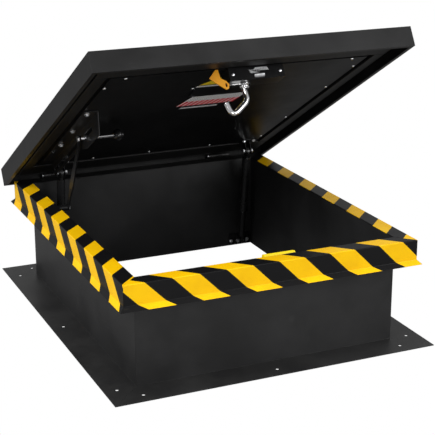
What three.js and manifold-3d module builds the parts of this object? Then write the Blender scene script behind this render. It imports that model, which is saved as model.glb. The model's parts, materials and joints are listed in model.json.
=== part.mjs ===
// Roof access hatch: a flanged sheet-metal curb with a cap flashing, and an insulated cover on rear hinges,
// lifted by two telescoping spring tubes, held open by a slotted arm and closed by a handled latch.
// Millimetres. X runs along the front, Y from the front to the hinge side, Z up.
// The origin is the middle of the clear opening, on the roof that the flange lies on.
import * as THREE from "three";
import { mergeVertices } from "three/addons/utils/BufferGeometryUtils.js";
import Module from "manifold-3d";

const wasm = await Module();
wasm.setup();

// ---------------------------------------------------------------- driving dimensions

const CLEAR_WIDTH = 762;
const CLEAR_DEPTH = 914;
const CURB_HEIGHT = 305;
const SHEET = 2;
const FLANGE_WIDTH = 89;
const FLANGE_HOLE_RADIUS = 4.5;
const FLANGE_HOLE_OUT = 53; // from the wall's outer face
const GAP = 0.3; // between pieces that touch

const CAP_OVERHANG = 46;
const CAP_FACE = 58;
const CAP_FLARE = 12;

const COVER_MARGIN_X = 76; // how far the cover reaches past the clear opening at each side
const COVER_MARGIN_Y = 79;
const COVER_HEIGHT = 56;
const COVER_LIP = 10;
const COVER_OPEN = 30 * (Math.PI / 180); // how far the cover stands open at rest
const COVER_EDGE_Z = CURB_HEIGHT - 15; // bottom edge of the closed cover
const HINGE_BACK = 12; // hinge axis in from the cover's rear face
const HINGE_UP = 16; // hinge axis above the closed cover's bottom edge
const HINGE_FROM_WALL = 91; // hinge's middle in from the curb's side wall
const HINGE_X = CLEAR_WIDTH / 2 - HINGE_FROM_WALL;
const HINGE_WIDTH = 76;
const KNUCKLE_RADIUS = 6;
const KNUCKLE_WIDTH = 24;
const HINGE_PIN_RADIUS = 3.6;
const LEAF = 2.5;

const INSULATION = 25;
const LINER_SHEET = 1.5;
const LINER_DROP = 9; // how far the liner's middle stands below its edge
const GASKET_SEAT = 1; // closed gasket above the curb's rim
const SEAT_UP = CURB_HEIGHT - COVER_EDGE_Z + GASKET_SEAT; // above the cover's bottom edge
const GASKET_SIDE = 33;
const GASKET_SIDE_IN = 36; // gasket's outer edge in from the cover's side
const GASKET_FRONT = 49;
const GASKET_FRONT_IN = 52;
const GASKET_REAR = 92;
const GASKET_REAR_IN = 45;
const LINER_STEP = 14; // gasket's inner edge to the liner's step

const LIFT_FROM_WALL_RIGHT = 45;
const LIFT_FROM_WALL_LEFT = 75; // leaves room for the slotted bracket
const LIFT_X_RIGHT = CLEAR_WIDTH / 2 - LIFT_FROM_WALL_RIGHT;
const LIFT_X_LEFT = LIFT_FROM_WALL_LEFT - CLEAR_WIDTH / 2;
const LIFT_FOOT_OUT = 23; // foot pin out from the rear wall
const LIFT_FOOT = { y: CLEAR_DEPTH / 2 - LIFT_FOOT_OUT, z: 22 };
const LIFT_HEAD_BACK = 2.3; // head pin behind the liner's step
const LIFT_INNER_RADIUS = 9.5;
const LIFT_TUBE_WALL = 1.6;
const LIFT_BUSH_ROOM = 1.9; // between the inner tube and the outer tube's bore
const LIFT_OUTER_RADIUS = LIFT_INNER_RADIUS + LIFT_BUSH_ROOM + LIFT_TUBE_WALL;
const LIFT_INNER_END = 228; // from the foot pin
const LIFT_PLUG = 18; // foot pin to the closed end of the inner tube
const LIFT_OUTER_LENGTH = 213; // from the eye's centre to the outer tube's mouth
const LIFT_NECK = 22; // eye's centre to the closed end of the outer tube
const LIFT_PIN_RADIUS = 4;
const LIFT_EYE_CLEARANCE = 8.9; // play at the open pivot of the lift linkage
const LIFT_EYE_WALL = 4;
const LIFT_LUG = 8;
const LIFT_SIDE_TRIM = 6.700; // eye off the pin at rest, spreads the play evenly over the cover's swing
const LIFT_LENGTH_TRIM = -4.55;

const ARM_FROM_WALL = 38;
const ARM_X = ARM_FROM_WALL - CLEAR_WIDTH / 2;
const ARM_THICK = 4;
const ARM_FOOT_FORWARD = 242; // foot in front of the rear wall
const ARM_FOOT_DOWN = 15; // foot below the rim
const ARM_FOOT = { y: CLEAR_DEPTH / 2 - ARM_FOOT_FORWARD, z: CURB_HEIGHT - ARM_FOOT_DOWN };
const ARM_HEAD = { l: 515, n: -10 };
const ARM_FOOT_RADIUS = 9;
const ARM_HEAD_RADIUS = 9;
const ARM_PIN_RADIUS = 5;
const ARM_SLOT_PLAY = 1.4;
const ARM_SLOT = { from: 180, to: 606 };
const ARM_WEB_THICK = 3;
const ARM_WEB_GAP = 7; // between the arm and the slotted bracket
const ARM_WEB_X = ARM_X + ARM_THICK / 2 + ARM_WEB_GAP + ARM_WEB_THICK / 2;

const LATCH_BACK = 110; // latch housing's front in from the cover's front face
const LATCH = {
  x: 30,
  l: CLEAR_DEPTH + 2 * COVER_MARGIN_Y - LATCH_BACK,
  width: 160,
  depth: 52,
  height: 36,
};
const SPINDLE_BACK = 32; // spindle behind the housing's front
const SPINDLE = { x: 0, l: LATCH.l - SPINDLE_BACK, radius: 6 };
const BOLT = { width: 30, height: 10, reach: 16, retracted: 1.5 };
const STRIKE_RADIUS = 8.5;
const STRIKE_OUT = 17; // bar's middle out from the front wall
const STRIKE = {
  x: 37,
  y: STRIKE_OUT - CLEAR_DEPTH / 2,
  z: CURB_HEIGHT - STRIKE_RADIUS,
  radius: STRIKE_RADIUS,
  length: 96,
};

// ---------------------------------------------------------------- sizes that follow from them

const WALL_X = CLEAR_WIDTH / 2 + SHEET; // outer faces of the curb's walls
const WALL_Y = CLEAR_DEPTH / 2 + SHEET;
const COVER_HALF = CLEAR_WIDTH / 2 + COVER_MARGIN_X;
const COVER_REAR = CLEAR_DEPTH / 2 + COVER_MARGIN_Y;
const COVER_LENGTH = 2 * COVER_REAR;
const HINGE_Y = COVER_REAR - HINGE_BACK;
const HINGE_Z = COVER_EDGE_Z + HINGE_UP;
const LINER_EDGE_UP = COVER_HEIGHT - SHEET - GAP - INSULATION - GAP; // top of the liner's sheet
const LINER_UNDER = LINER_EDGE_UP - LINER_SHEET - LINER_DROP; // underside of its middle
const GASKET_IN = COVER_HALF - GASKET_SIDE_IN - GASKET_SIDE; // inner edge, from the middle
const PAN_HALF = GASKET_IN - LINER_STEP;
const PAN_REAR = GASKET_REAR_IN + GASKET_REAR + LINER_STEP;
const PAN_FRONT = COVER_LENGTH - GASKET_FRONT_IN - GASKET_FRONT - LINER_STEP;
// the lift's pin on the cover, from its rear edge and up from its bottom edge
const LIFT_HEAD = { l: PAN_REAR - LIFT_HEAD_BACK, n: -13.3 };

// ---------------------------------------------------------------- materials

const metal = (color, roughness, metalness = 0.6) =>
  new THREE.MeshStandardMaterial({ color, roughness, metalness });
const BLACK = metal(0x1b1b1c, 0.45, 0.3);
const DARK = metal(0x141415, 0.6, 0.2);
const HAZARD = metal(0xf2b705, 0.5, 0);
const ZINC = metal(0xc9cbcd, 0.28, 1);
const CHROME = metal(0xdcdedf, 0.12, 1);
const STEEL = metal(0x8e9193, 0.35, 1);
const ORANGE = metal(0xf09a1c, 0.4, 0);
const RUBBER = metal(0x2a2a2b, 0.8, 0);
const FOAM = metal(0xd9c98f, 0.95, 0);
const KNOB = metal(0x0d0d0e, 0.35, 0);

// ---------------------------------------------------------------- shape helpers

const cylinderSides = (radius) => (radius < 8 ? 16 : 24);

function solidOf(geometry) {
  const bare = geometry.index ? geometry.toNonIndexed() : geometry.clone();
  bare.deleteAttribute("normal");
  bare.deleteAttribute("uv");
  const merged = mergeVertices(bare, 1e-4);
  return new wasm.Manifold(
    new wasm.Mesh({
      numProp: 3,
      vertProperties: merged.attributes.position.array,
      triVerts: new Uint32Array(merged.index.array),
    }),
  );
}

function geometryOf(solid) {
  const mesh = solid.getMesh();
  const geometry = new THREE.BufferGeometry();
  geometry.setAttribute("position", new THREE.BufferAttribute(mesh.vertProperties, 3));
  geometry.setIndex(new THREE.BufferAttribute(mesh.triVerts, 1));
  geometry.computeVertexNormals();
  return geometry;
}

const join = (...pieces) => geometryOf(pieces.map(solidOf).reduce((a, b) => a.add(b)));
const cut = (piece, ...tools) =>
  geometryOf(tools.map(solidOf).reduce((a, b) => a.subtract(b), solidOf(piece)));

// A box between two corners.
function box([x0, x1], [y0, y1], [z0, z1]) {
  const geometry = new THREE.BoxGeometry(x1 - x0, y1 - y0, z1 - z0);
  return geometry.translate((x0 + x1) / 2, (y0 + y1) / 2, (z0 + z1) / 2);
}

// A round bar between two points.
function bar(from, to, radius, sides = cylinderSides(radius)) {
  const a = new THREE.Vector3(...from);
  const along = new THREE.Vector3(...to).sub(a);
  const geometry = new THREE.CylinderGeometry(radius, radius, along.length(), sides);
  const turn = new THREE.Quaternion().setFromUnitVectors(
    new THREE.Vector3(0, 1, 0),
    along.clone().normalize(),
  );
  return geometry.applyQuaternion(turn).translate(...a.addScaledVector(along, 0.5));
}

// An outline drawn in Y and Z, extruded along X.
function plateX(outline, x0, x1, holes = []) {
  const shape = Array.isArray(outline)
    ? new THREE.Shape(outline.map((p) => new THREE.Vector2(...p)))
    : outline;
  shape.holes.push(...holes);
  const options = { depth: x1 - x0, bevelEnabled: false, curveSegments: 8 };
  const geometry = new THREE.ExtrudeGeometry(shape, options);
  const axes = new THREE.Matrix4().makeBasis(
    new THREE.Vector3(0, 1, 0),
    new THREE.Vector3(0, 0, 1),
    new THREE.Vector3(1, 0, 0),
  );
  return geometry.applyMatrix4(axes).translate(x0, 0, 0);
}

// A slot with round ends, drawn in Y and Z.
function slotPath(y0, y1, z, radius) {
  const path = new THREE.Path();
  path.absarc(y1, z, radius, -Math.PI / 2, Math.PI / 2, false);
  path.absarc(y0, z, radius, Math.PI / 2, (3 * Math.PI) / 2, false);
  path.closePath();
  return path;
}

// A round rim swept about Z from points of radius and height.
const turned = (points, sides = 24) =>
  new THREE.LatheGeometry(points.map((p) => new THREE.Vector2(...p)), sides).rotateX(Math.PI / 2);

// A folded sheet that runs along one side of a rectangle, with both ends mitred at 45 degrees.
// The profile's points are [out, up], with out measured from the wall's outer face.
function mitred(profile, wallOut, wallAlong, side) {
  const shape = new THREE.Shape(profile.map((p) => new THREE.Vector2(...p)));
  const geometry = new THREE.ExtrudeGeometry(shape, { depth: 1, bevelEnabled: false });
  const position = geometry.attributes.position;
  for (let i = 0; i < position.count; i++) {
    const out = position.getX(i);
    const end = position.getZ(i) > 0.5 ? 1 : -1;
    position.setXYZ(i, end * (wallAlong + out - GAP / 2), -(wallOut + out), position.getY(i));
  }
  const facing = solidOf(geometry).volume() < 0 ? flipped(geometry) : geometry;
  return facing.rotateZ((side * Math.PI) / 2);
}

function flipped(geometry) {
  const p = geometry.attributes.position;
  const spare = new THREE.Vector3();
  for (let i = 0; i < p.count; i += 3) {
    spare.fromBufferAttribute(p, i);
    p.setXYZ(i, p.getX(i + 1), p.getY(i + 1), p.getZ(i + 1));
    p.setXYZ(i + 1, spare.x, spare.y, spare.z);
  }
  return geometry;
}

// ---------------------------------------------------------------- the tree

const hatch = new THREE.Group();
const swing = new THREE.Group(); // turns about the hinge axis
swing.position.set(0, HINGE_Y, HINGE_Z);
swing.rotation.x = -COVER_OPEN;
const cover = new THREE.Group(); // x, minus the length along the cover, height above its bottom edge
cover.position.set(0, COVER_REAR - HINGE_Y, COVER_EDGE_Z - HINGE_Z);
swing.add(cover);
hatch.add(swing);

function add(parent, name, geometry, material) {
  const mesh = new THREE.Mesh(geometry, material);
  mesh.name = name;
  parent.add(mesh);
  return mesh;
}

// A point of the cover in the hatch's own frame, with the cover at rest.
function coverPoint(x, l, n) {
  const y = HINGE_BACK - l;
  const z = n - HINGE_UP;
  const c = Math.cos(COVER_OPEN);
  const s = Math.sin(COVER_OPEN);
  return new THREE.Vector3(x, HINGE_Y + y * c + z * s, HINGE_Z - y * s + z * c);
}

// ---------------------------------------------------------------- curb and cap

const sides = ["front", "right", "rear", "left"];
const wallProfile = [
  [-SHEET, 0],
  [FLANGE_WIDTH, 0],
  [FLANGE_WIDTH, SHEET],
  [0, SHEET],
  [0, CURB_HEIGHT - SHEET - GAP],
  [-SHEET, CURB_HEIGHT - SHEET - GAP],
];
const capDrop = CURB_HEIGHT - CAP_FACE;
const capProfile = [
  [-SHEET, CURB_HEIGHT - SHEET],
  [CAP_OVERHANG - SHEET, CURB_HEIGHT - SHEET],
  [CAP_OVERHANG - SHEET, capDrop],
  [CAP_OVERHANG - SHEET + CAP_FLARE, capDrop - CAP_FLARE],
  [CAP_OVERHANG + CAP_FLARE, capDrop - CAP_FLARE + SHEET * 0.4],
  [CAP_OVERHANG, capDrop + SHEET * 0.4],
  [CAP_OVERHANG, CURB_HEIGHT - SHEET],
  [CAP_OVERHANG - SHEET * 0.3, CURB_HEIGHT - SHEET * 0.3],
  [CAP_OVERHANG - SHEET, CURB_HEIGHT],
  [-SHEET, CURB_HEIGHT],
];
sides.forEach((side, i) => {
  const [out, along] = i % 2 ? [WALL_X, WALL_Y] : [WALL_Y, WALL_X];
  const holes = [-along, 0, along].map((x) => {
    const at = [x, -(out + FLANGE_HOLE_OUT)];
    return bar([...at, -5], [...at, 10], FLANGE_HOLE_RADIUS).rotateZ((i * Math.PI) / 2);
  });
  add(hatch, "curb_" + side, cut(mitred(wallProfile, out, along, i), ...holes), BLACK);
  add(hatch, "cap_" + side, mitred(capProfile, out, along, i), side === "rear" ? BLACK : HAZARD);
});

// ---------------------------------------------------------------- hinges

const capFaceY = WALL_Y + CAP_OVERHANG + GAP;
const flangeInner = COVER_REAR - SHEET - GAP;
for (const [side, x] of [["left", -HINGE_X], ["right", HINGE_X]]) {
  const half = HINGE_WIDTH / 2;
  const middle = KNUCKLE_WIDTH / 2;
  const axis = (dx) => [x + dx, HINGE_Y, HINGE_Z];
  const bore = bar(axis(-half - 1), axis(half + 1), HINGE_PIN_RADIUS + GAP);
  // The curb's leaf: a plate on the cap's rear face, and a knuckle at each end of the pin.
  const plate = box([x - half, x + half], [capFaceY, capFaceY + LEAF], [CURB_HEIGHT - 44, CURB_HEIGHT]);
  const lugs = [[-half, -middle - GAP], [middle + GAP, half]].map(([a, b]) =>
    join(
      bar(axis(a), axis(b), KNUCKLE_RADIUS),
      box([x + a, x + b], [capFaceY, HINGE_Y], [CURB_HEIGHT - 3, CURB_HEIGHT]),
    ),
  );
  add(hatch, "hinge_curb_leaf_" + side, cut(join(plate, ...lugs), bore), BLACK);
  const pin = join(
    bar(axis(-half - 1), axis(half), HINGE_PIN_RADIUS),
    bar(axis(-half - 3), axis(-half - GAP), HINGE_PIN_RADIUS + 1.6),
  );
  add(hatch, "hinge_pin_" + side, pin, ZINC);
  // The cover's leaf: a plate on the inside of its rear flange, and the middle knuckle. It is drawn on the
  // closed cover and moved into the cover's frame.
  const leaf = join(
    box([x - half, x + half], [flangeInner - LEAF, flangeInner], [HINGE_Z + 8, HINGE_Z + 32]),
    box([x - middle, x + middle], [flangeInner - LEAF, flangeInner], [HINGE_Z - 3, HINGE_Z + 9]),
    bar(axis(-middle), axis(middle), KNUCKLE_RADIUS),
    box([x - middle, x + middle], [HINGE_Y, flangeInner - 1], [HINGE_Z + 1, HINGE_Z + KNUCKLE_RADIUS]),
  );
  const placed = cut(leaf, bore).translate(0, -COVER_REAR, -COVER_EDGE_Z);
  add(cover, "hinge_cover_leaf_" + side, placed, BLACK);
}

// ---------------------------------------------------------------- cover: shell, insulation, liner, gasket

const spindleAt = [SPINDLE.x, -SPINDLE.l];
const spindleHole = bar([...spindleAt, -40], [...spindleAt, COVER_HEIGHT + 20], SPINDLE.radius + 1);
const shellNotches = [-HINGE_X, HINGE_X].map((x) =>
  box([x - HINGE_WIDTH / 2 - 4, x + HINGE_WIDTH / 2 + 4], [-SHEET - COVER_LIP - 3, -SHEET], [-1, SHEET + 1]),
);
const lipEdge = COVER_LIP + SHEET;
add(
  cover,
  "cover_shell",
  cut(
    box([-COVER_HALF, COVER_HALF], [-COVER_LENGTH, 0], [0, COVER_HEIGHT]),
    box(
      [SHEET - COVER_HALF, COVER_HALF - SHEET],
      [SHEET - COVER_LENGTH, -SHEET],
      [SHEET, COVER_HEIGHT - SHEET],
    ),
    box([lipEdge - COVER_HALF, COVER_HALF - lipEdge], [lipEdge - COVER_LENGTH, -lipEdge], [-1, SHEET + 1]),
    ...shellNotches,
    spindleHole,
  ),
  BLACK,
);

const inset = SHEET + 10;
const slabRear = 40; // leaves room for the hinges' cover leaves
add(
  cover,
  "cover_insulation",
  cut(
    box(
      [inset - COVER_HALF, COVER_HALF - inset],
      [inset - COVER_LENGTH, -slabRear],
      [LINER_EDGE_UP + GAP, LINER_EDGE_UP + GAP + INSULATION],
    ),
    spindleHole,
  ),
  FOAM,
);

const linerTop = [LINER_EDGE_UP - LINER_SHEET, LINER_EDGE_UP];
const panSheet = LINER_SHEET;
add(
  cover,
  "cover_liner",
  cut(
    join(
      box([inset - COVER_HALF, COVER_HALF - inset], [inset - COVER_LENGTH, -slabRear], linerTop),
      box([-PAN_HALF, PAN_HALF], [-PAN_FRONT, -PAN_REAR], [LINER_UNDER, LINER_EDGE_UP]),
    ),
    box(
      [panSheet - PAN_HALF, PAN_HALF - panSheet],
      [panSheet - PAN_FRONT, -panSheet - PAN_REAR],
      [LINER_UNDER + panSheet, LINER_EDGE_UP + 1],
    ),
    spindleHole,
  ),
  BLACK,
);

const gasketOut = COVER_HALF - GASKET_SIDE_IN;
const gasketUp = [SEAT_UP, LINER_EDGE_UP - LINER_SHEET - GAP];
const gasketFront = COVER_LENGTH - GASKET_FRONT_IN;
const gasketRear = GASKET_REAR_IN;
const betweenEnds = [GASKET_FRONT + GAP - gasketFront, -gasketRear - GASKET_REAR - GAP];
const gaskets = {
  front: box([-gasketOut, gasketOut], [-gasketFront, GASKET_FRONT - gasketFront], gasketUp),
  rear: box([-gasketOut, gasketOut], [-gasketRear - GASKET_REAR, -gasketRear], gasketUp),
  left: box([-gasketOut, -GASKET_IN], betweenEnds, gasketUp),
  right: box([GASKET_IN, gasketOut], betweenEnds, gasketUp),
};
for (const [side, geometry] of Object.entries(gaskets)) {
  add(cover, "gasket_" + side, geometry, RUBBER);
}

// ---------------------------------------------------------------- lift tubes

// Bracket of two cheeks and a base, seen along X. Its parts are boxes and round ends about the pin.
const cheekHalf = LIFT_LUG / 2 + 3;
const cheek = 3;
const pinReach = cheekHalf + cheek + 1;

function liftPin(x, y, z) {
  const head = LIFT_PIN_RADIUS + 3;
  const at = (dx) => [x + dx, y, z];
  return join(
    bar(at(-pinReach - 4), at(pinReach + 4), LIFT_PIN_RADIUS),
    bar(at(-pinReach - 6), at(-pinReach), head, 6),
    bar(at(pinReach), at(pinReach + 6), head, 6),
  );
}

function cheeks(x, y, z, base, radius) {
  const pieces = [];
  for (const side of [-1, 1]) {
    const near = x + side * cheekHalf;
    const far = near + side * cheek;
    const [x0, x1] = [Math.min(near, far), Math.max(near, far)];
    pieces.push(bar([x0, y, z], [x1, y, z], radius), box([x0, x1], base.y, base.z));
  }
  return pieces;
}

const footWall = CLEAR_DEPTH / 2 - GAP;
const headUp = LINER_UNDER - GAP;
const headPoint = coverPoint(0, LIFT_HEAD.l, LIFT_HEAD.n);
const liftLength =
  Math.hypot(headPoint.y - LIFT_FOOT.y, headPoint.z - LIFT_FOOT.z) + LIFT_LENGTH_TRIM;
const liftTilt =
  Math.atan2(headPoint.y - LIFT_FOOT.y, headPoint.z - LIFT_FOOT.z) + LIFT_SIDE_TRIM / liftLength;
const innerBore = LIFT_INNER_RADIUS - LIFT_TUBE_WALL;
const outerBore = LIFT_OUTER_RADIUS - LIFT_TUBE_WALL;
const outerMouth = liftLength - LIFT_OUTER_LENGTH;
const bushDepth = 14;
const bushLip = 3;

class Helix extends THREE.Curve {
  constructor(radius, from, to, turns) {
    super();
    Object.assign(this, { radius, from, to, turns });
  }
  getPoint(t, target = new THREE.Vector3()) {
    const angle = 2 * Math.PI * this.turns * t;
    const z = this.from + (this.to - this.from) * t;
    return target.set(this.radius * Math.cos(angle), this.radius * Math.sin(angle), z);
  }
}

function spring(radius, wire, from, to, turns) {
  const section = new THREE.Shape().absarc(0, 0, wire, 0, 2 * Math.PI, false);
  return new THREE.ExtrudeGeometry(section, {
    steps: turns * 9,
    curveSegments: 3,
    bevelEnabled: false,
    extrudePath: new Helix(radius, from + wire, to - wire, turns),
  });
}

for (const [side, x] of [["left", LIFT_X_LEFT], ["right", LIFT_X_RIGHT]]) {
  // foot bracket on the rear wall
  const { y, z } = LIFT_FOOT;
  const footHalf = 38;
  const footTop = z + 22;
  const footPlate = box([x - footHalf, x + footHalf], [footWall - 3, footWall], [4, footTop]);
  const footCheeks = cheeks(x, y, z, { y: [y, footWall - 1], z: [z - 11, z + 11] }, 11);
  const footBore = bar([x - 20, y, z], [x + 20, y, z], LIFT_PIN_RADIUS + GAP);
  add(hatch, "lift_foot_bracket_" + side, cut(join(footPlate, ...footCheeks), footBore), BLACK);
  add(hatch, "lift_foot_pin_" + side, liftPin(x, y, z), ZINC);

  // everything that swings on the foot pin, drawn upright and tilted as a group
  const stand = new THREE.Group();
  stand.position.set(x, y, z);
  stand.rotation.x = -liftTilt;
  hatch.add(stand);
  const half = LIFT_LUG / 2;
  const innerTube = join(
    bar([-half, 0, 0], [half, 0, 0], 9),
    box([-half, half], [-9, 9], [0, LIFT_PLUG + 1]),
    bar([0, 0, LIFT_PLUG], [0, 0, LIFT_INNER_END], LIFT_INNER_RADIUS, 24),
  );
  const innerHollow = bar([0, 0, LIFT_PLUG + 5], [0, 0, LIFT_INNER_END + 5], innerBore, 24);
  const lugBore = bar([-half - 1, 0, 0], [half + 1, 0, 0], LIFT_PIN_RADIUS + GAP);
  add(stand, "lift_inner_tube_" + side, cut(innerTube, innerHollow, lugBore), BLACK);

  // the outer tube slides over the inner one and hangs from an eye on the cover's pin
  const eyeBore = LIFT_PIN_RADIUS + LIFT_EYE_CLEARANCE;
  const eye = eyeBore + LIFT_EYE_WALL;
  const closedEnd = liftLength - LIFT_NECK;
  const outerTube = join(
    bar([0, 0, outerMouth], [0, 0, closedEnd], LIFT_OUTER_RADIUS, 24),
    box([-half, half], [-9, 9], [closedEnd - 2, liftLength - eyeBore - 1]),
    bar([-half, 0, liftLength], [half, 0, liftLength], eye, 28),
  );
  const outerHollow = bar([0, 0, outerMouth - 5], [0, 0, closedEnd - 6], outerBore, 24);
  const eyeHole = bar([-half - 3, 0, liftLength], [half + 3, 0, liftLength], eyeBore, 28);
  add(stand, "lift_outer_tube_" + side, cut(outerTube, outerHollow, eyeHole), BLACK);
  const bush = turned([
    [LIFT_INNER_RADIUS + GAP, outerMouth - bushLip],
    [LIFT_OUTER_RADIUS, outerMouth - bushLip],
    [LIFT_OUTER_RADIUS, outerMouth - GAP],
    [outerBore - GAP, outerMouth - GAP],
    [outerBore - GAP, outerMouth + bushDepth],
    [LIFT_INNER_RADIUS + GAP, outerMouth + bushDepth],
    [LIFT_INNER_RADIUS + GAP, outerMouth - bushLip],
  ]);
  add(stand, "lift_bush_" + side, bush, KNOB);
  const springEnds = [LIFT_PLUG + 5 + GAP, closedEnd - 6 - GAP];
  add(stand, "lift_spring_" + side, spring(innerBore - 2, 1.2, ...springEnds, 20), STEEL);

  // head bracket and pin on the cover
  const { l, n } = LIFT_HEAD;
  const headPlate = box([x - 24, x + 24], [-l - 34, -PAN_REAR - 1], [headUp - 3, headUp]);
  const spread = { y: [-l - 12, -l + 10.5], z: [n, headUp - 1] };
  const headBore = bar([x - 20, -l, n], [x + 20, -l, n], LIFT_PIN_RADIUS + GAP);
  const headBracket = join(headPlate, ...cheeks(x, -l, n, spread, 12));
  add(cover, "lift_head_bracket_" + side, cut(headBracket, headBore), BLACK);
  add(cover, "lift_head_pin_" + side, liftPin(x, -l, n), ZINC);
}

// ---------------------------------------------------------------- hold-open arm

const armHead = coverPoint(0, ARM_HEAD.l, ARM_HEAD.n);
const armReach = Math.hypot(armHead.y - ARM_FOOT.y, armHead.z - ARM_FOOT.z);
const armRise = Math.atan2(armHead.z - ARM_FOOT.z, ARM_FOOT.y - armHead.y);
const armSides = [ARM_X - ARM_THICK / 2, ARM_X + ARM_THICK / 2];

// curb bracket: a plate on the left wall with a boss that stands out to the arm
const armWall = -CLEAR_WIDTH / 2 + GAP;
const foot = (x) => [x, ARM_FOOT.y, ARM_FOOT.z];
const armPlate = box(
  [armWall, armWall + 3],
  [ARM_FOOT.y - 24, ARM_FOOT.y + 24],
  [ARM_FOOT.z - 46, CURB_HEIGHT - 2],
);
const armBoss = bar(foot(armWall + 1), foot(armSides[0] - GAP), 9);
const armBossHole = bar(foot(armWall + 8), foot(armSides[0] + 1), 4 + GAP);
add(hatch, "arm_curb_bracket", cut(join(armPlate, armBoss), armBossHole), BLACK);
const pivotBolt = join(
  bar(foot(armWall + 9), foot(armSides[1] + GAP + 1), 4),
  bar(foot(armSides[1] + GAP), foot(armSides[1] + 3.2), 8, 6),
);
add(hatch, "arm_pivot_bolt", pivotBolt, ZINC);

// the arm: a flat bar, widest two fifths of the way up, drawn lying towards the front;
// each entry is a distance from the foot and half the width there
function armOutline() {
  const widths = [
    [0, ARM_FOOT_RADIUS],
    [60, 7],
    [88, 13],
    [128, 12.5],
    [armReach - 12, 5.5],
  ];
  const shape = new THREE.Shape();
  shape.absarc(0, 0, ARM_FOOT_RADIUS, Math.PI / 2, -Math.PI / 2, true);
  // a shape's arc runs clockwise here, so that the foot's round end faces the rear
  widths.slice(1).forEach(([t, w]) => shape.lineTo(-t, -w));
  shape.absarc(-armReach, 0, ARM_HEAD_RADIUS, -Math.PI / 2, Math.PI / 2, true);
  [...widths.slice(1)].reverse().forEach(([t, w]) => shape.lineTo(-t, w));
  shape.closePath();
  return shape;
}
const armGroup = new THREE.Group();
armGroup.position.set(0, ARM_FOOT.y, ARM_FOOT.z);
armGroup.rotation.x = -armRise;
hatch.add(armGroup);
const head = (x) => [x, -armReach, 0];
add(
  armGroup,
  "hold_open_arm",
  cut(
    plateX(armOutline(), ...armSides),
    bar([armSides[0] - 1, 0, 0], [armSides[1] + 1, 0, 0], 4 + GAP),
    bar(head(armSides[0] - 1), head(armSides[1] + 1), ARM_PIN_RADIUS + GAP),
  ),
  BLACK,
);
const webSides = [ARM_WEB_X - ARM_WEB_THICK / 2, ARM_WEB_X + ARM_WEB_THICK / 2];
const spacerFrom = webSides[1] + 1;
const spacerTo = spacerFrom + 24;
const handleTo = spacerTo + 64;
const armPin = join(
  bar(head(armSides[0] - 6), head(spacerTo - GAP), ARM_PIN_RADIUS),
  bar(head(armSides[0] - 6), head(armSides[0] - GAP), 8.5, 6),
);
add(armGroup, "arm_pin", armPin, ZINC);
const spacer = cut(
  bar(head(spacerFrom), head(spacerTo), 8),
  bar(head(spacerFrom - 1), head(spacerTo + 1), ARM_PIN_RADIUS + GAP),
);
add(armGroup, "arm_spacer", spacer, STEEL);
add(armGroup, "release_rod", bar(head(spacerTo + GAP), head(handleTo + 20), 4.5), CHROME);
const knobProfile = [
  [4.5 + GAP, 0],
  [8, 0],
  [14, 5],
  [17, 13],
  [15.5, 21],
  [9, 26],
  [0, 27],
  [0, 20 + GAP],
  [4.5 + GAP, 20 + GAP],
  [4.5 + GAP, 0],
];
const knob = turned(knobProfile).rotateY(Math.PI / 2).translate(...head(handleTo));
add(armGroup, "release_knob", knob, KNOB);

// slotted bracket: a foot on the liner, and a web that hangs beside the arm
const slotRadius = ARM_PIN_RADIUS + ARM_SLOT_PLAY;
const slotRear = -ARM_SLOT.from;
const slotFront = -ARM_SLOT.to;
const webTop = LINER_UNDER - GAP;
const web = plateX(
  [
    [slotFront - 84, webTop],
    [slotFront - 58, ARM_HEAD.n - 36],
    [slotFront + 70, ARM_HEAD.n - 36],
    [slotFront + 150, ARM_HEAD.n - 18],
    [slotRear + 14, ARM_HEAD.n - 14],
    [slotRear + 14, webTop],
  ],
  ...webSides,
  [slotPath(slotFront, slotRear, ARM_HEAD.n, slotRadius)],
);
const webFoot = box([-PAN_HALF + 1, webSides[1]], [slotFront - 84, slotRear - 20], [webTop - 3, webTop]);
add(cover, "slotted_bracket", join(web, webFoot), BLACK);

// ---------------------------------------------------------------- latch

const latchRear = -(LATCH.l - LATCH.depth);
const latchX = [LATCH.x - LATCH.width / 2, LATCH.x + LATCH.width / 2];
const latchZ = [LINER_UNDER - GAP - LATCH.height, LINER_UNDER - GAP];
const boltX = [STRIKE.x - BOLT.width / 2, STRIKE.x + BOLT.width / 2];
const boltUp = STRIKE.z - COVER_EDGE_Z - STRIKE.radius - 2 - BOLT.height;
const boltZ = [boltUp, boltUp + BOLT.height];
const wall = 2;
const caseInner = box(
  [latchX[0] + wall, latchX[1] - wall],
  [wall - LATCH.l, latchRear - wall],
  [latchZ[0] + wall, latchZ[1] + 1],
);
const boltWindow = box(
  [boltX[0] - 0.6, boltX[1] + 0.6],
  [-LATCH.l - 1, wall + 1 - LATCH.l],
  [boltZ[0] - 0.6, boltZ[1] + 0.6],
);
add(
  cover,
  "latch_housing",
  cut(box(latchX, [-LATCH.l, latchRear], latchZ), caseInner, boltWindow, spindleHole),
  BLACK,
);

// bolt: a bar with a sloped nose that runs in the housing's front window
const boltFront = -LATCH.l - BOLT.retracted;
const boltBack = -SPINDLE.l - 12;
const nose = plateX(
  [
    [boltFront, boltZ[1]],
    [boltFront, boltZ[1] - 3],
    [boltFront + 6, boltZ[0]],
    [boltBack, boltZ[0]],
    [boltBack, boltZ[1]],
  ],
  boltX[0],
  boltX[1],
);
add(cover, "latch_bolt", nose, ZINC);

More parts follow.
